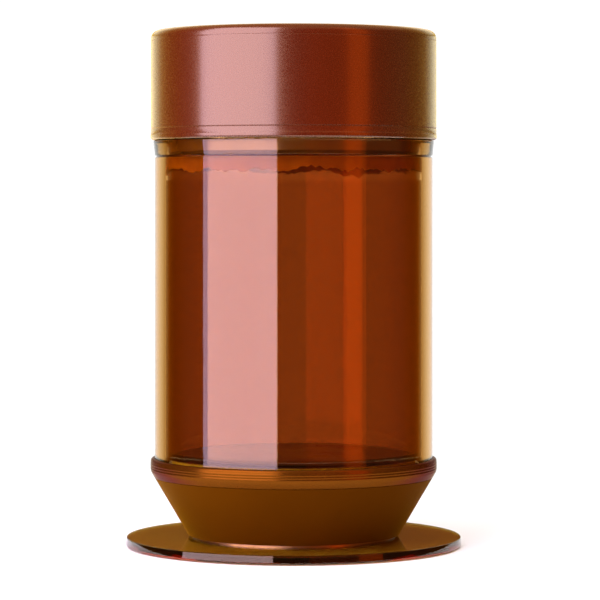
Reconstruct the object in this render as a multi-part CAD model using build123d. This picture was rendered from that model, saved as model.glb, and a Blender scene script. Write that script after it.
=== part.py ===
"""Footed specimen jar: a clear tube with an amber cup inside, a screw cap and a disc foot.

The origin is the centre of the face that the jar rests on, with +Z up. Sizes are in millimetres.
"""
from build123d import *
import os

# Outside sizes
FOOT_RADIUS = 48.25
CONE_FOOT_RADIUS = 30.4
CONE_TOP_RADIUS = 40.1
COLLAR_RADIUS = 41.2
TUBE_RADIUS = 40.0
TUBE_WALL = 3.0
CAP_RADIUS = 41.2

# Heights of the faces that the pieces share, from the ground up
FOOT_LOW = 0.3
FOOT_TOP = 2.7
CONE_LOW = 3.3
CONE_TOP = 19.9
COLLAR_TOP = 25.3
TUBE_LOW = 22.0
TUBE_TOP = 111.6
NECK_LOW = 112.1
CAP_LOW = 116.65
NECK_TOP = 131.3
CAP_TOP = 148.0

# Walls, gaps and fits
RUNNING_GAP = 0.05
MOULD_GAP = 0.15
THREAD_GAP = 0.3
SHELL_WALL = 0.9
CUP_WALL = 1.5
CUP_FLOOR = 26.7

# Foot
GRIP_INNER, GRIP_OUTER, GRIP_HEIGHT = 24.0, 28.0, 0.9
SPACER_INNER, SPACER_RADIUS = 10.0, 29.2
CONE_FLOOR = 6.3
CONE_FLOOR_INNER_RADIUS = 29.5
LEDGE = 16.9
LEDGE_RADIUS = 34.8
PLATE_RADIUS = 37.2
BOSS_RADIUS = 7.0
SCREW_RADIUS = 2.0
SCREW_HEAD_RADIUS = 4.0
SCREW_TIP = 14.5

# Collar and what it holds
COLLAR_SHELF = 21.4
COLLAR_INNER_RADIUS = 31.5
COLLAR_SCREW_COUNT = 6
COLLAR_SCREW_CIRCLE = 34.3
COLLAR_SCREW_RADIUS = 1.25
COLLAR_SCREW_HEAD_RADIUS = 2.3
COLLAR_SCREW_TIP = 17.3
GROOVE_HEIGHTS = (22.6, 23.9)
GROOVE_DEPTH = 0.15
GROOVE_HALF_WIDTH = 0.2
SUPPORT_RADIUS = 36.0
SUPPORT_LOW, SUPPORT_TOP = 22.6, 24.2
SUPPORT_RING_INNER, SUPPORT_RING_OUTER = 22.0, 26.0
PAD_RADIUS, PAD_TOP = 35.0, 25.2

# Cup
CUP_RADIUS = TUBE_RADIUS - TUBE_WALL - MOULD_GAP
CUP_FLANGE_RADIUS = 39.6
CUP_CORNER = 2.0
BOND_LOW = 105.0
BOND_THICKNESS = 0.5

# Neck and stopper
NECK_BORE = 36.8
NECK_FLARE_RADIUS = 40.45
NECK_FLARE_TOP = 116.3
NECK_CORE_RADIUS = 38.3
STOPPER_RADIUS = 36.2
STOPPER_LOW = 112.6
STOPPER_FLOOR_TOP = 116.1
STOPPER_RIM = 128.0
STOPPER_INNER_RADIUS = 33.4
STOPPER_BOSS_RADIUS = 8.0
STOPPER_BOSS_TOP = 142.5
STOPPER_CHAMFER = 0.8
RIB_COUNT = 6
RIB_THICKNESS = 1.6
RIB_TOP = 124.0
SEAL_HEIGHTS = {"lower_o_ring": 118.6, "upper_o_ring": 123.0}
SEAL_SECTION_RADIUS = 0.9
SEAL_GAP = 0.1
SEAL_GROOVE_HALF_WIDTH = 1.1

# Quick thread: several starts that share one long lead
THREAD_STARTS = 4
THREAD_LEAD = 12.0
THREAD_DEPTH = 0.8
THREAD_BASE_WIDTH = 1.2
THREAD_CREST_WIDTH = 0.7
THREAD_SINK = 0.3
NECK_THREAD_LOW = 120.0
NECK_THREAD_SWEEP = 120.0
CAP_THREAD_SWEEP = 100.0

# Cap and its swivel
INSERT_RADIUS = CAP_RADIUS - SHELL_WALL - RUNNING_GAP
INSERT_BORE = NECK_CORE_RADIUS + THREAD_DEPTH + THREAD_GAP
INSERT_LOW = 117.4
INSERT_TOP = CAP_TOP - SHELL_WALL
INSERT_ROOF = 143.1
INSERT_ROOF_RIM = 145.1
HUB_RADIUS = 12.0
SHELF_LOW, SHELF_TOP, SHELF_INNER_RADIUS = 132.7, 134.2, 37.0
LINER_LOW, LINER_OUTER_RADIUS = 131.5, 39.3
CAP_EDGE_ROUND = 2.2
CAP_BEAD_TOP = 118.15
CAP_BEAD_ROUND = 0.6
CAP_GROOVE = 119.95
SWIVEL_RADIUS = 3.0
SWIVEL_HEAD_RADIUS = 5.5
SWIVEL_HEAD_LOW, SWIVEL_HEAD_TOP = 145.4, 146.8
SWIVEL_SEAT = 145.2
SWIVEL_TIP = 130.0
WASHER_TOP = 143.0


def turned(outline, rounds=None):
    """Turn a closed outline of (radius, height) corners about Z; rounds maps a corner to its radius."""
    corners = [(radius, 0, height) for radius, height in outline]
    if rounds:
        radii = [rounds.get(index, 0) for index in range(len(corners))]
        edge = FilletPolyline(*corners, radius=radii, close=True)
    else:
        edge = Polyline(*corners, close=True)
    return revolve(make_face(edge), axis=Axis.Z)


def ring(inner, outer, low, high):
    """A plain ring, or a disc where the inner radius is 0."""
    return turned([(inner, low), (outer, low), (outer, high), (inner, high)])


def v_groove(radius, height, depth, half_width):
    """A ring-shaped cutter for a shallow V groove around an outside wall."""
    beyond = radius + depth
    return turned([
        (radius - depth, height),
        (beyond, height - 2 * half_width),
        (beyond, height + 2 * half_width),
    ])


def countersunk_screw(head_radius, shank_radius, head_face, tip, up, socket_radius, socket_depth):
    """A flat-headed screw on Z: its head faces head_face and its shank runs towards tip."""
    toward = 1 if up else -1
    neck = head_face + toward * (head_radius - shank_radius)
    screw = turned([(0, head_face), (head_radius, head_face), (shank_radius, neck), (shank_radius, tip), (0, tip)])
    socket_floor = head_face + toward * socket_depth
    socket = extrude(RegularPolygon(socket_radius, 6), amount=socket_depth)
    return screw - Pos(0, 0, min(head_face, socket_floor)) * socket


def countersink(head_radius, hole_radius, face, tip, up):
    """The cutter that a countersunk screw's seat and hole are made with."""
    toward = 1 if up else -1
    neck = face + toward * (head_radius - hole_radius)
    return turned([(0, face), (head_radius, face), (hole_radius, neck), (hole_radius, tip), (0, tip)])


def thread_ridges(root_radius, low, sweep_angle, outward):
    """The ridges of a quick thread, one for each start, rising from the same height."""
    direction = 1 if outward else -1
    path = Helix(pitch=THREAD_LEAD, height=THREAD_LEAD * sweep_angle / 360, radius=root_radius, center=(0, 0, low))
    section_plane = Plane(origin=path @ 0, x_dir=(direction, 0, 0), z_dir=path % 0)
    section = section_plane * make_face(Polyline(
        (-THREAD_SINK, -THREAD_BASE_WIDTH / 2),
        (0, -THREAD_BASE_WIDTH / 2),
        (THREAD_DEPTH, -THREAD_CREST_WIDTH / 2),
        (THREAD_DEPTH, THREAD_CREST_WIDTH / 2),
        (0, THREAD_BASE_WIDTH / 2),
        (-THREAD_SINK, THREAD_BASE_WIDTH / 2),
        close=True,
    ))
    ridge = sweep(section, path=path, is_frenet=True)
    return [Rot(0, 0, 360 / THREAD_STARTS * start) * ridge for start in range(THREAD_STARTS)]


def on_collar_circle(shape):
    """Copies of a shape at the collar's screw positions."""
    return [
        Rot(0, 0, 360 / COLLAR_SCREW_COUNT * index) * Pos(COLLAR_SCREW_CIRCLE, 0, 0) * shape
        for index in range(COLLAR_SCREW_COUNT)
    ]


def make_foot():
    """The polished disc, its grip ring, the spacer, and the screw that holds them to the base plate."""
    groove = ring(GRIP_INNER - RUNNING_GAP, GRIP_OUTER + RUNNING_GAP, 0, GRIP_HEIGHT)
    seat_face = FOOT_LOW
    seat = countersink(SCREW_HEAD_RADIUS + 0.2, SCREW_RADIUS + 0.2, seat_face, CONE_LOW, up=True)
    disc = turned(
        [(0, FOOT_LOW), (FOOT_RADIUS, FOOT_LOW), (FOOT_RADIUS, FOOT_TOP), (0, FOOT_TOP)],
        rounds={1: 0.3, 2: 0.3},
    )
    screw = countersunk_screw(
        SCREW_HEAD_RADIUS, SCREW_RADIUS, FOOT_LOW + 0.1, SCREW_TIP, up=True, socket_radius=1.4, socket_depth=1.3,
    )
    return {
        "foot_grip_ring": ring(GRIP_INNER, GRIP_OUTER, 0, GRIP_HEIGHT),
        "foot_disc": disc - groove - seat,
        "foot_spacer": ring(SPACER_INNER, SPACER_RADIUS, FOOT_TOP, CONE_LOW),
        "foot_screw": screw,
    }


def make_base():
    """The hollow cone and the plate inside its mouth, with the boss that the foot screw pulls on."""
    cone = turned([
        (SCREW_RADIUS + 0.2, CONE_LOW),
        (CONE_FOOT_RADIUS, CONE_LOW),
        (CONE_TOP_RADIUS, CONE_TOP),
        (PLATE_RADIUS + 0.1, CONE_TOP),
        (PLATE_RADIUS + 0.1, LEDGE),
        (LEDGE_RADIUS, LEDGE),
        (CONE_FLOOR_INNER_RADIUS, CONE_FLOOR),
        (SCREW_RADIUS + 0.2, CONE_FLOOR),
    ])
    plate = ring(0, PLATE_RADIUS, LEDGE, CONE_TOP) + ring(0, BOSS_RADIUS, CONE_FLOOR, LEDGE)
    plate -= ring(0, SCREW_RADIUS + RUNNING_GAP, CONE_FLOOR, SCREW_TIP + 0.5)
    for hole in on_collar_circle(ring(0, COLLAR_SCREW_RADIUS + RUNNING_GAP, COLLAR_SCREW_TIP - 0.2, CONE_TOP)):
        plate -= hole
    return {"foot_cone": cone, "base_plate": plate}


def make_collar():
    """The collar around the tube's foot, the screws inside it and the gasket that the tube stands on."""
    bore = TUBE_RADIUS + RUNNING_GAP
    collar = turned(
        [
            (COLLAR_INNER_RADIUS, CONE_TOP),
            (CONE_TOP_RADIUS + 0.1, CONE_TOP),
            (COLLAR_RADIUS, CONE_TOP + 1.7),
            (COLLAR_RADIUS, COLLAR_TOP),
            (bore, COLLAR_TOP),
            (bore, COLLAR_SHELF),
            (COLLAR_INNER_RADIUS, COLLAR_SHELF),
        ],
        rounds={2: 1.5, 3: 0.8},
    )
    for height in GROOVE_HEIGHTS:
        collar -= v_groove(COLLAR_RADIUS, height, GROOVE_DEPTH, GROOVE_HALF_WIDTH)
    seat = countersink(COLLAR_SCREW_HEAD_RADIUS + 0.1, COLLAR_SCREW_RADIUS + 0.1, COLLAR_SHELF, CONE_TOP, up=False)
    for hole in on_collar_circle(seat):
        collar -= hole
    screw = countersunk_screw(
        COLLAR_SCREW_HEAD_RADIUS, COLLAR_SCREW_RADIUS, COLLAR_SHELF, COLLAR_SCREW_TIP,
        up=False, socket_radius=0.8, socket_depth=0.7,
    )
    return {
        "collar": collar,
        "collar_screws": Compound(children=on_collar_circle(screw)),
        "tube_gasket": ring(TUBE_RADIUS - TUBE_WALL, TUBE_RADIUS, COLLAR_SHELF, TUBE_LOW),
    }


def make_tube_and_cup():
    """The clear tube, the amber cup hung in it, the bond between them, and what the cup's floor rests on."""
    cup_low = PAD_TOP
    cup_bore = CUP_RADIUS - CUP_WALL
    relief_radius = TUBE_RADIUS - TUBE_WALL - BOND_THICKNESS - RUNNING_GAP
    cup = turned(
        [
            (0, cup_low),
            (CUP_RADIUS, cup_low),
            (CUP_RADIUS, BOND_LOW),
            (relief_radius, BOND_LOW),
            (relief_radius, TUBE_TOP),
            (CUP_FLANGE_RADIUS, TUBE_TOP),
            (CUP_FLANGE_RADIUS, NECK_LOW),
            (cup_bore, NECK_LOW),
            (cup_bore, CUP_FLOOR),
            (0, CUP_FLOOR),
        ],
        rounds={1: CUP_CORNER, 8: CUP_CORNER},
    )
    support = ring(0, SUPPORT_RADIUS, SUPPORT_LOW, SUPPORT_TOP)
    support += ring(SUPPORT_RING_INNER, SUPPORT_RING_OUTER, CONE_TOP, SUPPORT_LOW)
    bond_outer = TUBE_RADIUS - TUBE_WALL - RUNNING_GAP
    return {
        "outer_tube": ring(TUBE_RADIUS - TUBE_WALL, TUBE_RADIUS, TUBE_LOW, TUBE_TOP),
        "inner_cup": cup,
        "cup_bond": ring(relief_radius + RUNNING_GAP, bond_outer, BOND_LOW, TUBE_TOP),
        "cup_support": support,
        "cup_pad": ring(0, PAD_RADIUS, SUPPORT_TOP, PAD_TOP),
    }


def make_neck():
    """The clear neck: a flared band below the cap, and the threaded core that the cap hides."""
    neck = turned(
        [
            (NECK_BORE, NECK_LOW),
            (TUBE_RADIUS, NECK_LOW),
            (NECK_FLARE_RADIUS, NECK_FLARE_TOP),
            (NECK_CORE_RADIUS, NECK_FLARE_TOP + 0.6),
            (NECK_CORE_RADIUS, NECK_TOP),
            (NECK_BORE, NECK_TOP),
        ],
        rounds={4: 0.4, 5: 0.4},
    )
    for ridge in thread_ridges(NECK_CORE_RADIUS, NECK_THREAD_LOW, NECK_THREAD_SWEEP, outward=True):
        neck += ridge
    return {"neck_ring": neck}


def make_stopper():
    """The hollow stopper with its seals, and the shouldered screw that the cap turns on."""
    stopper = turned([
        (0, STOPPER_LOW),
        (STOPPER_RADIUS - STOPPER_CHAMFER, STOPPER_LOW),
        (STOPPER_RADIUS, STOPPER_LOW + STOPPER_CHAMFER),
        (STOPPER_RADIUS, STOPPER_RIM),
        (STOPPER_INNER_RADIUS, STOPPER_RIM),
        (STOPPER_INNER_RADIUS, STOPPER_FLOOR_TOP),
        (STOPPER_BOSS_RADIUS, STOPPER_FLOOR_TOP),
        (STOPPER_BOSS_RADIUS, STOPPER_BOSS_TOP),
        (0, STOPPER_BOSS_TOP),
    ])
    rib_length = STOPPER_INNER_RADIUS - STOPPER_BOSS_RADIUS + 1.0
    rib_height = RIB_TOP - STOPPER_FLOOR_TOP
    rib_middle = Pos(
        STOPPER_BOSS_RADIUS - 0.5 + rib_length / 2, 0, STOPPER_FLOOR_TOP + rib_height / 2,
    )
    for index in range(RIB_COUNT):
        stopper += Rot(0, 0, 360 / RIB_COUNT * index) * rib_middle * Box(rib_length, RIB_THICKNESS, rib_height)
    seal_middle = NECK_BORE - SEAL_GAP - SEAL_SECTION_RADIUS
    groove_floor = seal_middle - SEAL_SECTION_RADIUS - RUNNING_GAP
    for height in SEAL_HEIGHTS.values():
        stopper -= ring(
            groove_floor, STOPPER_RADIUS + 1.0, height - SEAL_GROOVE_HALF_WIDTH, height + SEAL_GROOVE_HALF_WIDTH,
        )
    stopper -= ring(0, SWIVEL_RADIUS + RUNNING_GAP, SWIVEL_TIP - 1.0, STOPPER_BOSS_TOP)
    screw = turned([
        (0, SWIVEL_TIP),
        (SWIVEL_RADIUS, SWIVEL_TIP),
        (SWIVEL_RADIUS, SWIVEL_HEAD_LOW),
        (SWIVEL_HEAD_RADIUS, SWIVEL_HEAD_LOW),
        (SWIVEL_HEAD_RADIUS, SWIVEL_HEAD_TOP),
        (0, SWIVEL_HEAD_TOP),
    ])
    pieces = {
        name: Pos(0, 0, height) * Torus(seal_middle, SEAL_SECTION_RADIUS)
        for name, height in SEAL_HEIGHTS.items()
    }
    pieces["stopper"] = stopper
    pieces["swivel_screw"] = screw
    pieces["swivel_washer"] = ring(SWIVEL_RADIUS + 0.1, STOPPER_BOSS_RADIUS, STOPPER_BOSS_TOP, WASHER_TOP)
    return pieces


def make_cap():
    """The drawn metal shell, its threaded insert and the liner that meets the neck's rim."""
    shell_inner = CAP_RADIUS - SHELL_WALL
    shell = turned(
        [
            (0, CAP_TOP),
            (CAP_RADIUS, CAP_TOP),
            (CAP_RADIUS, CAP_LOW),
            (shell_inner, CAP_LOW),
            (shell_inner, INSERT_TOP),
            (0, INSERT_TOP),
        ],
        rounds={1: CAP_EDGE_ROUND, 2: CAP_BEAD_ROUND, 4: CAP_EDGE_ROUND - SHELL_WALL},
    )
    for height in (CAP_BEAD_TOP, CAP_GROOVE):
        shell -= v_groove(CAP_RADIUS, height, GROOVE_DEPTH, GROOVE_HALF_WIDTH)
    insert = turned(
        [
            (INSERT_BORE, INSERT_LOW),
            (INSERT_RADIUS, INSERT_LOW),
            (INSERT_RADIUS, INSERT_TOP),
            (SWIVEL_HEAD_RADIUS + 0.5, INSERT_TOP),
            (SWIVEL_HEAD_RADIUS + 0.5, SWIVEL_SEAT),
            (SWIVEL_RADIUS + RUNNING_GAP, SWIVEL_SEAT),
            (SWIVEL_RADIUS + RUNNING_GAP, INSERT_ROOF),
            (HUB_RADIUS, INSERT_ROOF),
            (HUB_RADIUS, INSERT_ROOF_RIM),
            (INSERT_BORE, INSERT_ROOF_RIM),
            (INSERT_BORE, SHELF_TOP),
            (SHELF_INNER_RADIUS, SHELF_TOP),
            (SHELF_INNER_RADIUS, SHELF_LOW),
            (INSERT_BORE, SHELF_LOW),
        ],
        rounds={2: CAP_EDGE_ROUND - SHELL_WALL + 0.1},
    )
    cap_thread_low = NECK_THREAD_LOW - THREAD_LEAD / THREAD_STARTS / 2
    for ridge in thread_ridges(INSERT_BORE, cap_thread_low, CAP_THREAD_SWEEP, outward=False):
        insert += ridge
    return {
        "cap_shell": shell,
        "cap_insert": insert,
        "cap_liner": ring(SHELF_INNER_RADIUS, LINER_OUTER_RADIUS, LINER_LOW, SHELF_LOW),
    }


os.makedirs("parts", exist_ok=True)
for make in (make_foot, make_base, make_collar, make_tube_and_cup, make_neck, make_stopper, make_cap):
    for node, shape in make().items():
        export_step(shape, f"parts/{node}.step")
        print(node, round(shape.volume, 1))
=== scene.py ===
"""Looks for a footed specimen jar: satin cap, clear tube with an amber cup in it, cone and disc foot.

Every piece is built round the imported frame, in metres, with +Z up and the jar's axis on Z.
"""
from __future__ import annotations

import logging
import math
from dataclasses import dataclass, field
from enum import Enum
from typing import Callable, Optional

import bpy
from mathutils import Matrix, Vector, noise

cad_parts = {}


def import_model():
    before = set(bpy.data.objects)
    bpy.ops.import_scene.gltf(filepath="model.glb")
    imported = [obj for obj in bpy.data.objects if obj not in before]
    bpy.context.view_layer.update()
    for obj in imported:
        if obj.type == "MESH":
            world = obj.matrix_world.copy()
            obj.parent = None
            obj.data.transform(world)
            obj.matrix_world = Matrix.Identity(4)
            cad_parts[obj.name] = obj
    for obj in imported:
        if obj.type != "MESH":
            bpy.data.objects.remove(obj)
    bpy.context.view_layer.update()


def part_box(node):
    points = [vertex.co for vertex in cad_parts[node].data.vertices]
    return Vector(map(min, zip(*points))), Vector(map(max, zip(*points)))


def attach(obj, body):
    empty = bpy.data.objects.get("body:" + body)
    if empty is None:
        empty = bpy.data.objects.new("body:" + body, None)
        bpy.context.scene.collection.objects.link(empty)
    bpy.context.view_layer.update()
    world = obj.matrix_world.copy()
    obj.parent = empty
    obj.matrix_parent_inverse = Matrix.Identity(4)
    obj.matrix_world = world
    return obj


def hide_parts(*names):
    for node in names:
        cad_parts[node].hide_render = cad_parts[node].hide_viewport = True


LOG = logging.getLogger("specimen_jar")
MM = 0.001
FINE_STEPS = 256
ROUND_STEP = math.radians(7.5)
SHARP_ANGLE = math.radians(32)
PATTERN_LOW = 0.3
PATTERN_HIGH = 0.7

Colour = tuple[float, float, float]
Bands = tuple[tuple[float, Colour], ...]
Reshape = Callable[[float, float, float], tuple[float, float]]


class Body(Enum):
    """The moving bodies of the jar, by the names that the frame gives them."""

    JAR = "jar"
    STOPPER = "stopper"
    CAP = "cap"


# ---------------------------------------------------------------- shape helpers


@dataclass
class Outline:
    """A turned piece's outline: corners of (radius, height), each with its own rounding, in metres."""

    corners: list[tuple[float, float, float]] = field(default_factory=list)
    hold: float = 0.35 * MM

    def at(self, radius: float, height: float, soft: float = 0.0) -> "Outline":
        """Add a corner.

        Args:
            radius: Distance from the axis.
            height: Height above the ground.
            soft: Radius that the corner is rounded with.

        Returns:
            The outline itself, so that calls can be chained.
        """
        self.corners.append((radius, height, soft))
        return self

    def run(self, radius: float, height: float, steps: int) -> "Outline":
        """Add a straight run to a corner in equal steps, so that it can be reshaped later.

        Args:
            radius: Distance of the run's end from the axis.
            height: Height of the run's end.
            steps: Number of steps in the run.

        Returns:
            The outline itself.
        """
        from_radius, from_height, _ = self.corners[-1]
        for step in range(1, steps + 1):
            share = step / steps
            self.at(
                from_radius + (radius - from_radius) * share,
                from_height + (height - from_height) * share,
            )
        return self

    def _rounded(self, index: int) -> list[Vector]:
        """Find the points that stand for one corner: itself, or an arc where it is rounded.

        Args:
            index: The corner's place in the outline.

        Returns:
            The points, in the outline's order.
        """
        count = len(self.corners)
        radius, height, soft = self.corners[index]
        here = Vector((radius, height))
        if soft <= 0:
            return [here]
        before = Vector(self.corners[(index - 1) % count][:2]) - here
        after = Vector(self.corners[(index + 1) % count][:2]) - here
        half = before.angle(after) / 2
        before.normalize()
        after.normalize()
        centre = here + (before + after).normalized() * (soft / math.sin(half))
        start = here + before * (soft / math.tan(half)) - centre
        sweep = start.angle_signed(here + after * (soft / math.tan(half)) - centre)
        steps = max(2, math.ceil(abs(sweep) / ROUND_STEP))
        points = []
        for step in range(steps + 1):
            angle = -sweep * step / steps
            points.append(centre + Vector((
                start.x * math.cos(angle) - start.y * math.sin(angle),
                start.x * math.sin(angle) + start.y * math.cos(angle),
            )))
        return points

    def points(self) -> list[Vector]:
        """Round the corners and hold each long run's ends with a loop beside them.

        Returns:
            The outline's points in order.
        """
        arcs = [self._rounded(index) for index in range(len(self.corners))]
        points: list[Vector] = []
        for index, arc in enumerate(arcs):
            points.extend(arc)
            end, start = arc[-1], arcs[(index + 1) % len(arcs)][0]
            length = (start - end).length
            on_axis = end.x < 1e-9 and start.x < 1e-9
            if length > 6 * self.hold and not on_axis:
                step = (start - end) * (self.hold / length)
                points.append(end + step)
                points.append(start - step)
        return points


def new_object(name: str, vertices: list[Vector], faces: list[list[int]]) -> bpy.types.Object:
    """Make a smooth-shaded mesh object with its hard edges marked sharp.

    Args:
        name: The piece's name.
        vertices: Corner positions, in metres.
        faces: Corner indices of each face.

    Returns:
        The new object, linked into the scene.
    """
    mesh = bpy.data.meshes.new(name)
    mesh.from_pydata(vertices, [], faces)
    mesh.validate()
    mesh.polygons.foreach_set("use_smooth", [True] * len(mesh.polygons))
    mesh.set_sharp_from_angle(angle=SHARP_ANGLE)
    piece = bpy.data.objects.new(name, mesh)
    bpy.context.scene.collection.objects.link(piece)
    return piece


def turn(
    name: str,
    outline: Outline,
    reshape: Optional[Reshape] = None,
    steps: int = FINE_STEPS,
) -> bpy.types.Object:
    """Turn an outline about the jar's axis into a closed mesh.

    The outline runs anticlockwise in (radius, height), so that the faces look outward.

    Args:
        name: The piece's name.
        outline: Its outline.
        reshape: Gives a point's (radius, height) from its (angle, radius, height), where it isn't round.
        steps: Number of steps round the axis.

    Returns:
        The turned piece.
    """
    points = outline.points()
    vertices: list[Vector] = []
    rings: list[list[int]] = []
    for point in points:
        if point.x < 1e-9:
            vertices.append(Vector((0, 0, point.y)))
            rings.append([len(vertices) - 1] * steps)
            continue
        first = len(vertices)
        for step in range(steps):
            angle = 2 * math.pi * step / steps
            radius, height = reshape(angle, point.x, point.y) if reshape else (point.x, point.y)
            vertices.append(Vector((radius * math.cos(angle), radius * math.sin(angle), height)))
        rings.append(list(range(first, first + steps)))
    faces: list[list[int]] = []
    for lower, upper in zip(rings, rings[1:] + rings[:1]):
        for step in range(steps):
            nearby = (step + 1) % steps
            corners = [lower[step], lower[nearby], upper[nearby], upper[step]]
            face = [corner for place, corner in enumerate(corners) if corner not in corners[:place]]
            if len(face) > 2:
                faces.append(face)
    return new_object(name, vertices, faces)


# ---------------------------------------------------------------- material helpers


class Recipe:
    """A material being put together, with short calls for the nodes that the finishes share."""

    def __init__(self, name: str) -> None:
        """Start a material with a Principled shader and its output.

        Args:
            name: The material's name.
        """
        self.material = bpy.data.materials.new(name)
        self.material.use_nodes = True
        self.tree = self.material.node_tree
        self.tree.nodes.clear()
        self.output = self.tree.nodes.new("ShaderNodeOutputMaterial")
        self.shader = self.tree.nodes.new("ShaderNodeBsdfPrincipled")
        self.tree.links.new(self.shader.outputs["BSDF"], self.output.inputs["Surface"])
        self.place = self.tree.nodes.new("ShaderNodeTexCoord").outputs["Object"]

    def link(self, source: bpy.types.NodeSocket, target: bpy.types.NodeSocket) -> None:
        """Join two sockets."""
        self.tree.links.new(source, target)

    def set(self, **values: object) -> "Recipe":
        """Set plain values on the shader's sockets; an underscore in a name stands for a space.

        Args:
            **values: Socket names and their values.

        Returns:
            The recipe itself.
        """
        for name, value in values.items():
            self.shader.inputs[name.replace("_", " ")].default_value = value
        return self

    def grain(self, scale: float, detail: float = 4.0) -> bpy.types.NodeSocket:
        """A noise pattern's value.

        Args:
            scale: Number of features per metre.
            detail: How many finer layers it has.

        Returns:
            The socket that holds the value, from 0 to 1.
        """
        texture = self.tree.nodes.new("ShaderNodeTexNoise")
        texture.inputs["Scale"].default_value = scale
        texture.inputs["Detail"].default_value = detail
        self.link(self.place, texture.inputs["Vector"])
        return texture.outputs["Fac"]

    def between(self, value: bpy.types.NodeSocket, low: float, high: float) -> bpy.types.NodeSocket:
        """Map a pattern's value onto a range.

        Args:
            value: The pattern.
            low: Result at and below PATTERN_LOW.
            high: Result at and above PATTERN_HIGH.

        Returns:
            The mapped value.
        """
        node = self.tree.nodes.new("ShaderNodeMapRange")
        node.inputs["From Min"].default_value = PATTERN_LOW
        node.inputs["From Max"].default_value = PATTERN_HIGH
        node.inputs["To Min"].default_value = low
        node.inputs["To Max"].default_value = high
        self.link(value, node.inputs["Value"])
        return node.outputs["Result"]

    def blend(self, share: bpy.types.NodeSocket, first: Colour, second: Colour) -> bpy.types.NodeSocket:
        """Blend two colours by a pattern's value.

        Args:
            share: The second colour's share.
            first: The first colour.
            second: The second colour.

        Returns:
            The blended colour.
        """
        node = self.tree.nodes.new("ShaderNodeMix")
        node.data_type = "RGBA"
        self.link(share, node.inputs["Factor"])
        node.inputs["A"].default_value = (*first, 1)
        node.inputs["B"].default_value = (*second, 1)
        return node.outputs["Result"]

    def tone(self, pattern: bpy.types.NodeSocket, first: Colour, second: Colour) -> None:
        """Colour the surface with two tones.

        Args:
            pattern: The pattern that chooses between them.
            first: The tone where the pattern is low.
            second: The tone where it is high.
        """
        self.link(self.blend(self.between(pattern, 0, 1), first, second), self.shader.inputs["Base Color"])

    def roughen(self, pattern: bpy.types.NodeSocket, low: float, high: float) -> None:
        """Vary the roughness by a pattern.

        Args:
            pattern: The pattern.
            low: Roughness where the pattern is low.
            high: Roughness where it is high.
        """
        self.link(self.between(pattern, low, high), self.shader.inputs["Roughness"])

    def bump(self, height: bpy.types.NodeSocket, strength: float, distance: float) -> None:
        """Raise the surface's shading by a pattern.

        Args:
            height: The pattern.
            strength: Share of the effect, from 0 to 1.
            distance: Height of the relief, in metres.
        """
        node = self.tree.nodes.new("ShaderNodeBump")
        node.inputs["Strength"].default_value = strength
        node.inputs["Distance"].default_value = distance
        self.link(height, node.inputs["Height"])
        self.link(node.outputs["Normal"], self.shader.inputs["Normal"])

    def absorb(self, per_metre: Colour) -> None:
        """Give the inside an absorption.

        Args:
            per_metre: Parts lost per metre of red, green and blue.
        """
        strongest = max(per_metre)
        node = self.tree.nodes.new("ShaderNodeVolumeAbsorption")
        node.inputs["Density"].default_value = strongest
        node.inputs["Color"].default_value = (*[1 - part / strongest for part in per_metre], 1)
        self.link(node.outputs["Volume"], self.output.inputs["Volume"])


@dataclass(frozen=True)
class SatinLacquer:
    """Tinted metallic lacquer with a fine satin grain."""

    name: str
    colour: Colour
    shade: Colour
    roughness: float = 0.27
    metallic: float = 0.0
    gloss: float = 1.0
    gloss_tint: Colour = (1.0, 0.72, 0.32)
    index: float = 1.5
    coat: float = 1.0
    edge_glow: float = 1.0

    def make(self) -> bpy.types.Material:
        """Build the material.

        Returns:
            The finished material.
        """
        recipe = Recipe(self.name)
        recipe.set(Metallic=self.metallic, IOR=self.index)
        recipe.set(Specular_IOR_Level=self.gloss, Specular_Tint=(*self.gloss_tint, 1))
        recipe.set(Coat_Weight=self.coat, Coat_Roughness=0.17, Coat_IOR=1.5)
        recipe.set(Sheen_Weight=self.edge_glow, Sheen_Roughness=0.33, Sheen_Tint=(1.0, 0.8, 0.15, 1))
        cloud = recipe.grain(28.0, 3.0)
        recipe.tone(cloud, self.colour, self.shade)
        fine = recipe.grain(2600.0, 2.0)
        recipe.roughen(fine, self.roughness - 0.05, self.roughness + 0.06)
        recipe.bump(fine, 0.09, 0.04 * MM)
        return recipe.material


@dataclass(frozen=True)
class MattPaint:
    """Matt paint with a faint powder texture and uneven tone."""

    name: str
    colour: Colour
    shade: Colour
    roughness: float = 0.55
    gloss: float = 0.03
    edge_glow: float = 0.25

    def make(self) -> bpy.types.Material:
        """Build the material.

        Returns:
            The finished material.
        """
        recipe = Recipe(self.name)
        recipe.set(Specular_IOR_Level=self.gloss, IOR=1.15)
        recipe.set(Sheen_Weight=self.edge_glow, Sheen_Roughness=0.4, Sheen_Tint=(1.0, 0.55, 0.02, 1))
        cloud = recipe.grain(40.0, 4.0)
        recipe.tone(cloud, self.colour, self.shade)
        powder = recipe.grain(1800.0, 3.0)
        recipe.roughen(powder, self.roughness - 0.08, self.roughness + 0.08)
        recipe.bump(powder, 0.3, 0.06 * MM)
        return recipe.material


@dataclass(frozen=True)
class ClearPlastic:
    """Clear or tinted plastic that light passes through, absorbing by its depth."""

    name: str
    per_metre: Colour
    roughness: float = 0.015
    index: float = 1.49
    tint: Colour = (1.0, 1.0, 1.0)
    gloss_tint: Colour = (1.0, 1.0, 1.0)

    def make(self) -> bpy.types.Material:
        """Build the material.

        Returns:
            The finished material.
        """
        recipe = Recipe(self.name)
        recipe.set(Transmission_Weight=1.0, IOR=self.index, Base_Color=(*self.tint, 1))
        recipe.set(Specular_Tint=(*self.gloss_tint, 1))
        haze = recipe.grain(60.0, 5.0)
        recipe.roughen(haze, self.roughness * 0.4, self.roughness * 1.6)
        recipe.absorb(self.per_metre)
        return recipe.material


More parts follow.
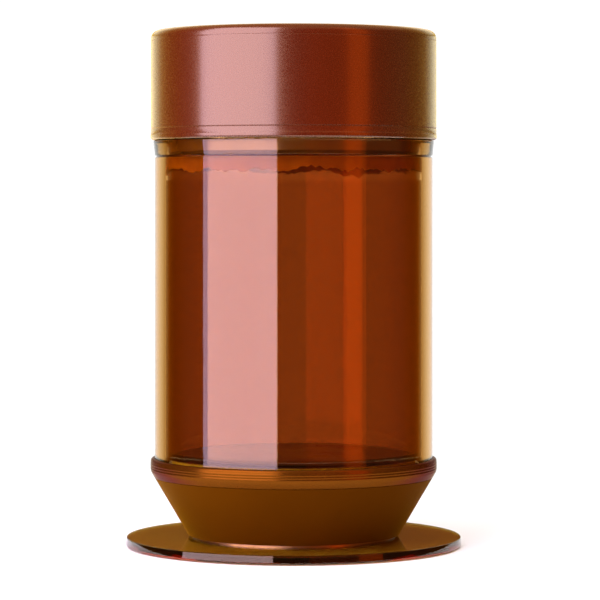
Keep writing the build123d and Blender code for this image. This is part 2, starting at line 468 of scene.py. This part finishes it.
@dataclass(frozen=True)
class Moulding:
    """Moulded plastic or rubber with a faint mould texture."""

    name: str
    colour: Colour
    shade: Colour
    roughness: float = 0.45
    relief: float = 0.03 * MM
    gloss: float = 0.5

    def make(self) -> bpy.types.Material:
        """Build the material.

        Returns:
            The finished material.
        """
        recipe = Recipe(self.name)
        recipe.set(Specular_IOR_Level=self.gloss)
        cloud = recipe.grain(55.0, 3.0)
        recipe.tone(cloud, self.colour, self.shade)
        texture = recipe.grain(1500.0, 2.0)
        recipe.roughen(texture, self.roughness - 0.06, self.roughness + 0.06)
        recipe.bump(texture, 0.3, self.relief)
        return recipe.material


@dataclass(frozen=True)
class TurnedMetal:
    """Bare metal with fine rings from the lathe."""

    name: str
    colour: Colour
    roughness: float = 0.28

    def make(self) -> bpy.types.Material:
        """Build the material.

        Returns:
            The finished material.
        """
        recipe = Recipe(self.name)
        recipe.set(Metallic=1.0)
        rings = recipe.tree.nodes.new("ShaderNodeTexWave")
        rings.wave_type = "RINGS"
        rings.rings_direction = "Z"
        rings.inputs["Scale"].default_value = 900.0
        rings.inputs["Distortion"].default_value = 0.6
        recipe.link(recipe.place, rings.inputs["Vector"])
        darker = tuple(part * 0.8 for part in self.colour)
        recipe.tone(recipe.grain(70.0, 4.0), self.colour, darker)
        recipe.roughen(recipe.grain(900.0, 2.0), self.roughness - 0.06, self.roughness + 0.08)
        recipe.bump(rings.outputs["Fac"], 0.2, 0.02 * MM)
        return recipe.material


@dataclass(frozen=True)
class Sealant:
    """Cloudy orange sealant that some light passes through."""

    name: str
    colour: Colour = (0.72, 0.26, 0.003)
    shade: Colour = (0.52, 0.18, 0.002)
    clear_share: float = 0.6
    index: float = 1.08

    def make(self) -> bpy.types.Material:
        """Build the material.

        Returns:
            The finished material.
        """
        recipe = Recipe(self.name)
        recipe.set(Transmission_Weight=self.clear_share, IOR=self.index)
        recipe.tone(recipe.grain(220.0, 5.0), self.colour, self.shade)
        recipe.roughen(recipe.grain(300.0, 3.0), 0.35, 0.6)
        recipe.bump(recipe.grain(260.0, 4.0), 0.6, 0.2 * MM)
        return recipe.material


@dataclass(frozen=True)
class PalePaper:
    """Matt pale paper with a faint unevenness."""

    name: str
    colour: Colour = (0.86, 0.86, 0.86)
    shade: Colour = (0.84, 0.84, 0.84)

    def make(self) -> bpy.types.Material:
        """Build the material.

        Returns:
            The finished material.
        """
        recipe = Recipe(self.name)
        recipe.tone(recipe.grain(6.0, 3.0), self.colour, self.shade)
        recipe.set(Roughness=0.9, Specular_IOR_Level=0.1)
        return recipe.material


def carry_over(node: str, material: bpy.types.Material) -> None:
    """Give a node of the frame a new material on every slot.

    Args:
        node: The node's name.
        material: Its new material.
    """
    piece = bpy.data.objects[node]
    for slot in piece.material_slots:
        slot.material = material
    LOG.info("%s keeps its own shape", node)


def stand_for(
    piece: bpy.types.Object,
    body: Body,
    node: str,
    material: bpy.types.Material,
) -> None:
    """Dress a piece and let it stand for a node of the frame.

    Args:
        piece: The piece.
        body: The body that it moves with.
        node: The node that it replaces.
        material: Its material.
    """
    piece.data.materials.append(material)
    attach(piece, body.value)
    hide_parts(node)
    LOG.info("%s stands for %s", piece.name, node)


# ---------------------------------------------------------------- sub-assemblies


@dataclass
class Foot:
    """The polished disc, the spacer over it and the grip ring and screw beneath."""

    grip_bore: float = 24.0 * MM
    edge_round: float = 0.15 * MM
    edge_draft: float = 0.2 * MM
    rim_height: float = 0.5 * MM
    groove_gap: float = 0.05 * MM
    screw_hole: float = 2.2 * MM
    screw_seat: float = 4.2 * MM

    def build(self) -> None:
        """Build and dress the foot's pieces."""
        low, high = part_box("foot_disc")
        grip_low, grip_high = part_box("foot_grip_ring")
        grip_inner = self.grip_bore - self.groove_gap
        outline = (
            Outline()
            .at(self.screw_hole, low.z + (self.screw_seat - self.screw_hole))
            .at(self.screw_seat, low.z)
            .at(grip_inner, low.z)
            .at(grip_inner, grip_high.z)
            .at(grip_high.x + self.groove_gap, grip_high.z)
            .at(grip_high.x + self.groove_gap, low.z)
            .at(high.x - 0.05 * MM, low.z, self.edge_round)
            .at(high.x, low.z + self.rim_height, 0.1 * MM)
            .at(high.x - self.edge_draft, high.z, self.edge_round)
            .at(self.screw_hole, high.z)
        )
        disc = turn("polished_disc", outline)
        amber = ClearPlastic(
            "polished_amber_disc", (20.0, 80.0, 560.0), 0.012, index=1.6, gloss_tint=(1.0, 0.85, 0.6),
        )
        stand_for(disc, Body.JAR, "foot_disc", amber.make())
        carry_over("foot_spacer", TurnedMetal("bronze_spacer", (0.36, 0.2, 0.1), 0.35).make())
        silicone = Moulding("grip_silicone", (0.03, 0.028, 0.026), (0.045, 0.042, 0.04), 0.7)
        carry_over("foot_grip_ring", silicone.make())
        carry_over("foot_screw", TurnedMetal("foot_screw_steel", (0.55, 0.55, 0.56), 0.3).make())


@dataclass
class Base:
    """The matt cone, the plate inside it and the collar with its screws."""

    collar_bore: float = 40.05 * MM
    collar_inner: float = 31.5 * MM
    collar_shelf: float = 21.4 * MM
    cone_foot: float = 30.4 * MM
    cone_floor: float = 3.0 * MM
    cavity_top: float = 34.8 * MM
    cavity_foot: float = 29.5 * MM
    plate_depth: float = 3.0 * MM
    plate_gap: float = 0.1 * MM
    screw_hole: float = 2.2 * MM
    lip_height: float = 1.7 * MM
    lip_round: float = 1.2 * MM
    ridges_above: float = 2.2 * MM
    ridges_below: float = 1.1 * MM
    ridge_count: int = 3
    ridge_depth: float = 0.07 * MM

    def build_cone(self) -> None:
        """Build the cone as a hollow shell with a ledge for the plate."""
        low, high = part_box("foot_cone")
        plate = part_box("base_plate")[1]
        ledge_height = plate.z - self.plate_depth
        outline = (
            Outline()
            .at(self.screw_hole, low.z)
            .at(self.cone_foot, low.z, 0.2 * MM)
            .run(high.x - 0.05 * MM, high.z - 0.1 * MM, 12)
            .at(high.x - 0.3 * MM, high.z)
            .at(plate.x + self.plate_gap, high.z)
            .at(plate.x + self.plate_gap, ledge_height)
            .at(self.cavity_top, ledge_height)
            .at(self.cavity_foot, low.z + self.cone_floor)
            .at(self.screw_hole, low.z + self.cone_floor)
        )
        cone = turn("matt_cone", outline)
        paint = MattPaint("matt_brown_paint", (0.075, 0.022, 0.0003), (0.088, 0.027, 0.0004))
        stand_for(cone, Body.JAR, "foot_cone", paint.make())

    def build_collar(self, lacquer: bpy.types.Material) -> None:
        """Build the collar with its rounded lip and faint ridges.

        Args:
            lacquer: The collar's satin lacquer.
        """
        low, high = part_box("collar")
        foot_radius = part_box("foot_cone")[1].x + 0.05 * MM
        outline = (
            Outline()
            .at(self.collar_inner, low.z)
            .at(foot_radius, low.z, 0.25 * MM)
            .at(high.x - 0.12 * MM, low.z + self.lip_height, self.lip_round)
        )
        ridge_low = low.z + self.ridges_above
        ridge_high = high.z - self.ridges_below
        pitch = (ridge_high - ridge_low) / self.ridge_count
        for ridge in range(self.ridge_count):
            middle = ridge_low + pitch * (ridge + 0.5)
            outline.at(high.x - self.ridge_depth, middle - pitch / 2)
            outline.at(high.x, middle - pitch / 5, 0.25 * MM)
            outline.at(high.x, middle + pitch / 5, 0.25 * MM)
        (
            outline
            .at(high.x - self.ridge_depth, ridge_high)
            .at(high.x - 0.02 * MM, high.z, 0.75 * MM)
            .at(self.collar_bore, high.z)
            .at(self.collar_bore, self.collar_shelf)
            .at(self.collar_inner, self.collar_shelf)
        )
        collar = turn("satin_collar", outline)
        stand_for(collar, Body.JAR, "collar", lacquer)

    def build(self, lacquer: bpy.types.Material) -> None:
        """Build and dress the base's pieces.

        Args:
            lacquer: The satin lacquer of the collar.
        """
        self.build_cone()
        self.build_collar(lacquer)
        aluminium = TurnedMetal("turned_aluminium_plate", (0.72, 0.71, 0.69), 0.3)
        carry_over("base_plate", aluminium.make())
        steel = TurnedMetal("collar_screw_steel", (0.6, 0.6, 0.61), 0.25)
        carry_over("collar_screws", steel.make())


@dataclass
class Container:
    """The clear tube and the amber cup in it, with the bond, pad, plate and gasket."""

    tube_wall: float = 3.0 * MM
    cup_wall: float = 1.5 * MM
    cup_corner: float = 2.0 * MM
    cup_gap: float = 0.15 * MM
    bond_seat: float = 0.55 * MM
    bond_wall: float = 0.5 * MM
    bond_edge: float = 3.6 * MM
    bond_gap: float = 0.05 * MM
    bond_taper: float = 0.1 * MM
    ripple: float = 0.5 * MM
    film_depth: float = 0.7 * MM
    film_gap: float = 0.05 * MM
    floor_rings: int = 40

    def build_tube(self) -> None:
        """Build the clear outer tube."""
        low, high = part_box("outer_tube")
        inner = high.x - self.tube_wall
        outline = (
            Outline()
            .at(inner, low.z)
            .at(high.x, low.z, 0.15 * MM)
            .at(high.x, high.z, 0.12 * MM)
            .at(inner, high.z)
        )
        tube = turn("clear_outer_tube", outline)
        acrylic = ClearPlastic("clear_acrylic_tube", (14.0, 80.0, 215.0), 0.004)
        stand_for(tube, Body.JAR, "outer_tube", acrylic.make())

    def ripples(self, floor_height: float, reach: float) -> Reshape:
        """Make the function that ripples the cup's floor.

        Args:
            floor_height: Height of the floor's upper face.
            reach: Radius where the ripples die out.

        Returns:
            A function for turn().
        """
        def reshape(angle: float, radius: float, height: float) -> tuple[float, float]:
            """Move a point of the floor up or down.

            Args:
                angle: Direction of the point round the axis.
                radius: Its distance from the axis.
                height: Its height.

            Returns:
                The point's new radius and height.
            """
            if abs(height - floor_height) > 0.01 * MM or radius > reach:
                return radius, height
            place = Vector((radius * math.cos(angle), radius * math.sin(angle), 0.0))
            fade = min(1.0, (reach - radius) / (4 * MM))
            swell = noise.noise(place * 140.0) + 0.6 * noise.noise(place * 310.0 + Vector((7.0, 3.0, 0.0)))
            return radius, height + self.ripple * fade * (swell - 0.2)
        return reshape

    def build_cup(self) -> None:
        """Build the amber cup with its flange, its relief for the bond and a seat for the film."""
        low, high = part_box("inner_cup")
        tube_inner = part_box("outer_tube")[1].x - self.tube_wall
        tube_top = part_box("outer_tube")[1].z
        bond_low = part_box("cup_bond")[0].z
        outer = tube_inner - self.cup_gap
        inner = outer - self.cup_wall
        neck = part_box("cup_bond")[1].x - self.bond_seat
        floor_height = low.z + self.cup_wall - self.film_depth - self.film_gap
        outline = (
            Outline()
            .at(0.0, low.z)
            .at(outer, low.z, self.cup_corner)
            .at(outer, bond_low)
            .at(neck, bond_low)
            .at(neck, tube_top)
            .at(high.x, tube_top)
            .at(high.x, high.z)
            .at(inner, high.z)
            .at(inner, floor_height, self.cup_corner)
            .at(0.0, floor_height)
        )
        cup = turn("amber_inner_cup", outline)
        amber = ClearPlastic("dark_amber_plastic", (183.0, 363.0, 560.0), 0.006, tint=(0.61, 0.38, 0.22))
        stand_for(cup, Body.JAR, "inner_cup", amber.make())

    def build_film(self) -> None:
        """Build the rippled golden film that is the upper layer of the cup's floor."""
        low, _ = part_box("inner_cup")
        surface = low.z + self.cup_wall
        cup_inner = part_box("outer_tube")[1].x - self.tube_wall - self.cup_gap - self.cup_wall
        edge = cup_inner - self.cup_corner
        outline = (
            Outline()
            .at(0.0, surface - self.film_depth)
            .at(edge, surface - self.film_depth)
            .at(edge, surface, 0.2 * MM)
            .at(edge - 0.4 * MM, surface)
            .run(0.0, surface, self.floor_rings)
        )
        film = turn("cup_floor_film", outline, self.ripples(surface, edge - 0.3 * MM))
        resin = Moulding("golden_resin_film", (0.95, 0.93, 0.05), (0.6, 0.4, 0.01), 0.3)
        stand_for(film, Body.JAR, "inner_cup", resin.make())

    def build_bond(self) -> None:
        """Build the sealant between cup and tube, with its uneven lower edge."""
        low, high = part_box("cup_bond")
        inner = high.x - self.bond_wall
        edge = low.z + self.bond_edge

        def sag(angle: float, radius: float, height: float) -> tuple[float, float]:
            """Let a point hang lower, the more so the nearer it is to the lower edge.

            Args:
                angle: Direction of the point round the axis.
                radius: Its distance from the axis.
                height: Its height.

            Returns:
                The point's new radius and height.
            """
            fade = min(1.0, max(0.0, (high.z - height) / (high.z - edge)))
            ring = Vector((math.cos(angle), math.sin(angle), 0.3))
            wave = noise.noise(ring * 3.1) * 1.6 + noise.noise(ring * 11.0) + noise.noise(ring * 27.0) * 0.7
            drop = min(max(wave, -2.0), 2.0) * 1.1 * MM - 0.9 * MM
            return radius, max(low.z, height + drop * fade)

        outline = Outline().at(high.x - self.bond_gap, edge).at(high.x, edge).run(high.x, high.z, 6)
        outline.at(inner, high.z).run(inner, edge + self.bond_taper, 4)
        bond = turn("cup_sealant", outline, sag, steps=720)
        stand_for(bond, Body.JAR, "cup_bond", Sealant("orange_sealant").make())

    def build(self) -> None:
        """Build and dress the container's pieces."""
        self.build_tube()
        self.build_cup()
        self.build_film()
        self.build_bond()
        pad = Moulding("pale_silicone_pad", (0.95, 0.93, 0.06), (0.8, 0.7, 0.03), 0.5)
        carry_over("cup_pad", pad.make())
        support = TurnedMetal("support_plate_aluminium", (0.72, 0.7, 0.66), 0.3)
        carry_over("cup_support", support.make())
        gasket = Moulding("amber_silicone_gasket", (0.6, 0.4, 0.02), (0.5, 0.32, 0.014), 0.6)
        carry_over("tube_gasket", gasket.make())


@dataclass
class NeckAndStopper:
    """The clear threaded neck, and the stopper with its seals and swivel."""

    bore: float = 36.8 * MM
    core: float = 38.3 * MM
    flare_top: float = 116.3 * MM
    thread_low: float = 120.0 * MM
    thread_sweep: float = math.radians(120)
    thread_lead: float = 12.0 * MM
    thread_starts: int = 4
    thread_depth: float = 0.8 * MM
    thread_base: float = 1.2 * MM
    thread_crest: float = 0.7 * MM

    def thread(self, angle: float, radius: float, height: float) -> tuple[float, float]:
        """Raise the neck's outside where a thread ridge runs.

        Args:
            angle: Direction of the point round the axis.
            radius: Its distance from the axis.
            height: Its height.

        Returns:
            The point's new radius and height.
        """
        if abs(radius - self.core) > 0.01 * MM or height < self.flare_top + 1.5 * MM:
            return radius, height
        lift = 0.0
        for start in range(self.thread_starts):
            along = (angle - 2 * math.pi * start / self.thread_starts) % (2 * math.pi)
            if along > self.thread_sweep:
                continue
            middle = self.thread_low + self.thread_lead * along / (2 * math.pi)
            off = abs(height - middle)
            share = (self.thread_base / 2 - off) / ((self.thread_base - self.thread_crest) / 2)
            lift = max(lift, min(max(share, 0.0), 1.0))
        return radius + self.thread_depth * lift, height

    def build_neck(self) -> None:
        """Build the clear neck with its flared band and thread."""
        low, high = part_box("neck_ring")
        tube_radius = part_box("outer_tube")[1].x
        outline = (
            Outline()
            .at(self.bore, low.z)
            .at(tube_radius, low.z, 0.12 * MM)
            .at(high.x, self.flare_top, 0.15 * MM)
            .at(self.core, self.flare_top + 0.6 * MM, 0.2 * MM)
            .at(self.core, self.flare_top + 2.0 * MM)
            .run(self.core, high.z - 1.0 * MM, 100)
            .at(self.core, high.z, 0.4 * MM)
            .at(self.bore, high.z, 0.4 * MM)
        )
        neck = turn("clear_threaded_neck", outline, self.thread, steps=384)
        acrylic = ClearPlastic("clear_neck_acrylic", (14.0, 80.0, 215.0), 0.004)
        stand_for(neck, Body.JAR, "neck_ring", acrylic.make())

    def build(self) -> None:
        """Build and dress the neck, stopper and swivel."""
        self.build_neck()
        olive = Moulding("olive_brown_stopper", (0.15, 0.065, 0.0008), (0.18, 0.078, 0.001), 0.2, gloss=1.0)
        carry_over("stopper", olive.make())
        rubber = Moulding("seal_rubber", (0.05, 0.03, 0.02), (0.07, 0.042, 0.026), 0.55).make()
        for node in ("lower_o_ring", "upper_o_ring"):
            carry_over(node, rubber)
        carry_over("swivel_screw", TurnedMetal("swivel_screw_steel", (0.6, 0.6, 0.61), 0.22).make())
        nylon = Moulding("nylon_washer", (0.7, 0.68, 0.62), (0.62, 0.6, 0.54), 0.4)
        carry_over("swivel_washer", nylon.make())


@dataclass
class Cap:
    """The drawn metal cap with its insert and liner."""

    wall: float = 0.9 * MM
    edge_round: float = 2.2 * MM
    bead_height: float = 1.5 * MM
    bead_relief: float = 0.12 * MM
    groove_height: float = 3.3 * MM
    groove_depth: float = 0.18 * MM
    crown_line: float = 2.9 * MM

    def build_shell(self, lacquer: bpy.types.Material) -> None:
        """Build the shell: rolled bead, fine groove, drawn wall, crown line and rounded top edge.

        Args:
            lacquer: The shell's satin lacquer.
        """
        low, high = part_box("cap_shell")
        inner = high.x - self.wall
        wall = high.x - self.bead_relief
        bead_top = low.z + self.bead_height
        groove = low.z + self.groove_height
        crown = high.z - self.crown_line
        outline = (
            Outline(hold=0.5 * MM)
            .at(inner, low.z, 0.3 * MM)
            .at(high.x, low.z, 0.8 * MM)
            .at(high.x, bead_top - 0.1 * MM, 0.55 * MM)
            .at(wall, bead_top + 0.1 * MM)
            .at(wall, groove - 0.16 * MM, 0.08 * MM)
            .at(wall - self.groove_depth, groove, 0.05 * MM)
            .at(wall, groove + 0.16 * MM, 0.08 * MM)
            .at(wall, crown - 0.15 * MM, 0.1 * MM)
            .at(wall - 0.06 * MM, crown, 0.1 * MM)
            .at(wall, crown + 0.15 * MM, 0.1 * MM)
            .at(wall, high.z, self.edge_round)
            .at(0.0, high.z)
            .at(0.0, high.z - self.wall)
            .at(inner, high.z - self.wall, self.edge_round - self.wall)
        )
        shell = turn("satin_cap", outline)
        stand_for(shell, Body.CAP, "cap_shell", lacquer)

    def build(self, lacquer: bpy.types.Material) -> None:
        """Build and dress the cap's pieces.

        Args:
            lacquer: The satin lacquer of the shell.
        """
        self.build_shell(lacquer)
        moulded = Moulding("brown_cap_insert", (0.06, 0.03, 0.014), (0.075, 0.038, 0.018), 0.45)
        carry_over("cap_insert", moulded.make())
        rubber = Moulding("liner_rubber", (0.3, 0.24, 0.16), (0.26, 0.2, 0.13), 0.6)
        carry_over("cap_liner", rubber.make())


# ---------------------------------------------------------------- studio


@dataclass
class Studio:
    """The floor, the lights round the jar, the surroundings and the camera."""

    distance: float = 0.832
    eye_height: float = 100.1 * MM
    lens: float = 173.2
    shift_across: float = 0.0105
    shift_up: float = -0.1708
    light_distance: float = 0.26
    light_top: float = 0.46
    left_width: float = 0.311
    left_offset: float = 0.014
    left_angle: float = math.radians(46)
    floor_radius: float = 0.15
    floor_depth: float = 0.05 * MM
    left_radiance: Colour = (4.6, 3.5, 4.9)
    right_angle: float = -math.radians(36)
    right_width: float = 0.081
    right_offset: float = 0.0605
    right_radiance: Colour = (1.35, 0.16, 0.0)
    card_width: float = 0.15
    card_offset: float = -0.055
    card_radiance: Colour = (0.22, 0.02, 0.0)
    backdrop: Colour = (1.08, 1.08, 1.08)
    ceiling: Colour = (2.15, 2.15, 2.15)
    ceiling_seen: Colour = (0.5, 0.25, 0.12)
    wall_crossings: float = 6.5
    horizon_band: tuple[float, float] = (0.085, 0.11)
    upper_band: tuple[float, float] = (0.15, 0.19)
    ceiling_band: tuple[float, float] = (0.5, 0.7)
    level_bands: Bands = (
        (0.2, (0.2, 0.055, 0.02)),
        (0.3, (0.2, 0.05, 0.001)),
        (0.55, (0.2, 0.05, 0.001)),
        (0.68, (0.35, 0.12, 0.005)),
        (0.8, (0.55, 0.5, 0.38)),
        (0.9, (0.88, 0.86, 0.78)),
        (0.985, (1.08, 1.08, 1.08)),
    )
    raised_bands: Bands = (
        (0.2, (0.2, 0.12, 0.06)),
        (0.3, (0.02, 0.01, 0.005)),
        (0.66, (0.02, 0.01, 0.005)),
        (0.8, (0.18, 0.06, 0.015)),
    )
    through_bands: Bands = (
        (0.4, (0.9, 0.9, 0.9)),
        (0.5, (0.2, 0.05, 0.001)),
        (0.68, (0.35, 0.12, 0.005)),
        (0.8, (0.55, 0.5, 0.38)),
        (0.9, (0.88, 0.86, 0.78)),
        (0.985, (1.08, 1.08, 1.08)),
    )

    def softbox(self, name: str, angle: float, offset: float, width: float, radiance: Colour) -> None:
        """Stand a tall rectangular light on the floor, facing the jar.

        Args:
            name: The light's name.
            angle: Direction from the jar, from the camera's side towards the left.
            offset: How far its middle is moved along its plane.
            width: Its width.
            radiance: Brightness in red, green and blue.
        """
        light = bpy.data.lights.new(name, "AREA")
        light.shape = "RECTANGLE"
        light.size = width
        light.size_y = self.light_top
        strength = max(radiance)
        light.color = tuple(part / strength for part in radiance)
        light.energy = strength * width * self.light_top * math.pi
        lamp = bpy.data.objects.new(name, light)
        toward = Vector((-math.sin(angle), -math.cos(angle), 0))
        along = Vector((math.cos(angle), -math.sin(angle), 0))
        lamp.location = toward * self.light_distance + along * offset + Vector((0, 0, self.light_top / 2))
        lamp.rotation_mode = "QUATERNION"
        lamp.rotation_quaternion = toward.to_track_quat("Z", "Y")
        lamp.visible_camera = False
        bpy.context.scene.collection.objects.link(lamp)

    def banded(
        self,
        tree: bpy.types.NodeTree,
        value: bpy.types.NodeSocket,
        bands: Bands,
    ) -> bpy.types.NodeSocket:
        """Colour a direction's share by bands.

        Args:
            tree: The world's node tree.
            value: One part of the direction, from -1 to 1.
            bands: Where each colour stands, and the colour.

        Returns:
            The colour.
        """
        remap = tree.nodes.new("ShaderNodeMapRange")
        remap.inputs["From Min"].default_value = -1.0
        tree.links.new(value, remap.inputs["Value"])
        ramp = tree.nodes.new("ShaderNodeValToRGB")
        tree.links.new(remap.outputs["Result"], ramp.inputs["Fac"])
        stops = ramp.color_ramp.elements
        while len(stops) < len(bands):
            stops.new(0.5)
        for stop, (place, colour) in zip(stops, bands):
            stop.position = (place + 1) / 2
            stop.color = (*colour, 1)
        return ramp.outputs["Color"]

    def choose(
        self,
        tree: bpy.types.NodeTree,
        share: bpy.types.NodeSocket,
        first: bpy.types.NodeSocket | Colour,
        second: bpy.types.NodeSocket | Colour,
    ) -> bpy.types.NodeSocket:
        """Mix two colours.

        Args:
            tree: The world's node tree.
            share: The second colour's share.
            first: The first colour.
            second: The second colour.

        Returns:
            The mixed colour.
        """
        mix = tree.nodes.new("ShaderNodeMix")
        mix.data_type = "RGBA"
        tree.links.new(share, mix.inputs["Factor"])
        for name, colour in (("A", first), ("B", second)):
            if isinstance(colour, tuple):
                mix.inputs[name].default_value = (*colour, 1)
            else:
                tree.links.new(colour, mix.inputs[name])
        return mix.outputs["Result"]

    def over(
        self,
        tree: bpy.types.NodeTree,
        value: bpy.types.NodeSocket,
        band: tuple[float, float],
        below: bpy.types.NodeSocket,
        above: bpy.types.NodeSocket,
    ) -> bpy.types.NodeSocket:
        """Change from one colour to another as a direction rises through a band.

        Args:
            tree: The world's node tree.
            value: The direction's height, from -1 to 1.
            band: Where the change starts and ends.
            below: The colour below the band.
            above: The colour above it.

        Returns:
            The colour.
        """
        share = tree.nodes.new("ShaderNodeMapRange")
        share.interpolation_type = "SMOOTHSTEP"
        share.inputs["From Min"].default_value, share.inputs["From Max"].default_value = band
        tree.links.new(value, share.inputs["Value"])
        return self.choose(tree, share.outputs["Result"], below, above)

    def build_surroundings(self) -> None:
        """Surround the jar.

        The camera sees a plain pale backdrop. Reflections see a white back and a dim front and ceiling, diffuse
        light sees a bright ceiling, and light that has crossed many of the jar's walls sees a white front.
        """
        world = bpy.data.worlds.new("studio_surround")
        bpy.context.scene.world = world
        world.use_nodes = True
        tree = world.node_tree
        tree.nodes.clear()
        out = tree.nodes.new("ShaderNodeOutputWorld")
        place = tree.nodes.new("ShaderNodeTexCoord")
        split = tree.nodes.new("ShaderNodeSeparateXYZ")
        tree.links.new(place.outputs["Generated"], split.inputs["Vector"])
        level = self.banded(tree, split.outputs["Y"], self.level_bands)
        raised = self.banded(tree, split.outputs["Y"], self.raised_bands)
        lower = self.over(tree, split.outputs["Z"], self.horizon_band, level, raised)
        upper = self.over(tree, split.outputs["Z"], self.upper_band, lower, level)
        path = tree.nodes.new("ShaderNodeLightPath")
        above = self.choose(tree, path.outputs["Is Diffuse Ray"], self.ceiling_seen, self.ceiling)
        whole = self.over(tree, split.outputs["Z"], self.ceiling_band, upper, above)
        deep = tree.nodes.new("ShaderNodeMath")
        deep.operation = "GREATER_THAN"
        deep.inputs[1].default_value = self.wall_crossings
        tree.links.new(path.outputs["Transmission Depth"], deep.inputs[0])
        through = self.banded(tree, split.outputs["Y"], self.through_bands)
        seen = self.choose(tree, deep.outputs["Value"], whole, through)
        around = tree.nodes.new("ShaderNodeBackground")
        tree.links.new(seen, around.inputs["Color"])
        plain = tree.nodes.new("ShaderNodeBackground")
        plain.inputs["Color"].default_value = (*self.backdrop, 1)
        mix = tree.nodes.new("ShaderNodeMixShader")
        tree.links.new(path.outputs["Is Camera Ray"], mix.inputs["Fac"])
        tree.links.new(around.outputs["Background"], mix.inputs[1])
        tree.links.new(plain.outputs["Background"], mix.inputs[2])
        tree.links.new(mix.outputs["Shader"], out.inputs["Surface"])

    def build_floor(self) -> None:
        """A round pale floor with the faint unevenness of matt paper."""
        outline = Outline().at(0.0, -self.floor_depth).at(self.floor_radius, -self.floor_depth)
        outline.at(self.floor_radius, 0.0).run(0.0, 0.0, 8)
        floor = turn("pale_floor", outline)
        floor.data.materials.append(PalePaper("pale_paper").make())

    def build_camera(self) -> None:
        """A long level lens with a vertical shift, straight in front of the jar."""
        data = bpy.data.cameras.new("studio_camera")
        data.lens = self.lens
        data.shift_x = self.shift_across
        data.shift_y = self.shift_up
        camera = bpy.data.objects.new("studio_camera", data)
        camera.location = (0, -self.distance, self.eye_height)
        camera.rotation_euler = (math.radians(90), 0, 0)
        bpy.context.scene.collection.objects.link(camera)
        bpy.context.scene.camera = camera

    def build(self) -> None:
        """Build the camera, floor, lights and surroundings."""
        self.build_camera()
        self.build_floor()
        for name, angle, offset, width, radiance in (
            ("left_softbox", self.left_angle, self.left_offset, self.left_width, self.left_radiance),
            ("right_softbox", self.right_angle, self.right_offset, self.right_width, self.right_radiance),
            ("right_card", self.right_angle, self.card_offset, self.card_width, self.card_radiance),
        ):
            self.softbox(name, angle, offset, width, radiance)
        self.build_surroundings()
        bpy.context.scene.view_settings.view_transform = "Standard"


def main() -> None:
    """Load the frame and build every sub-assembly round it."""
    logging.basicConfig(level=logging.INFO, format="%(name)s: %(message)s")
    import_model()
    Studio().build()
    copper = SatinLacquer("copper_satin_lacquer", (0.06, 0.003, 0.0001), (0.072, 0.004, 0.0001)).make()
    Foot().build()
    olive = SatinLacquer(
        "olive_copper_lacquer", (0.13, 0.042, 0.003), (0.15, 0.05, 0.004), 0.22,
        metallic=0.75, gloss=0.5, gloss_tint=(0.4, 0.2, 0.03), index=1.3, coat=0.0, edge_glow=0.0,
    ).make()
    Base().build(olive)
    Container().build()
    NeckAndStopper().build()
    Cap().build(copper)


if __name__ == "__main__":
    main()
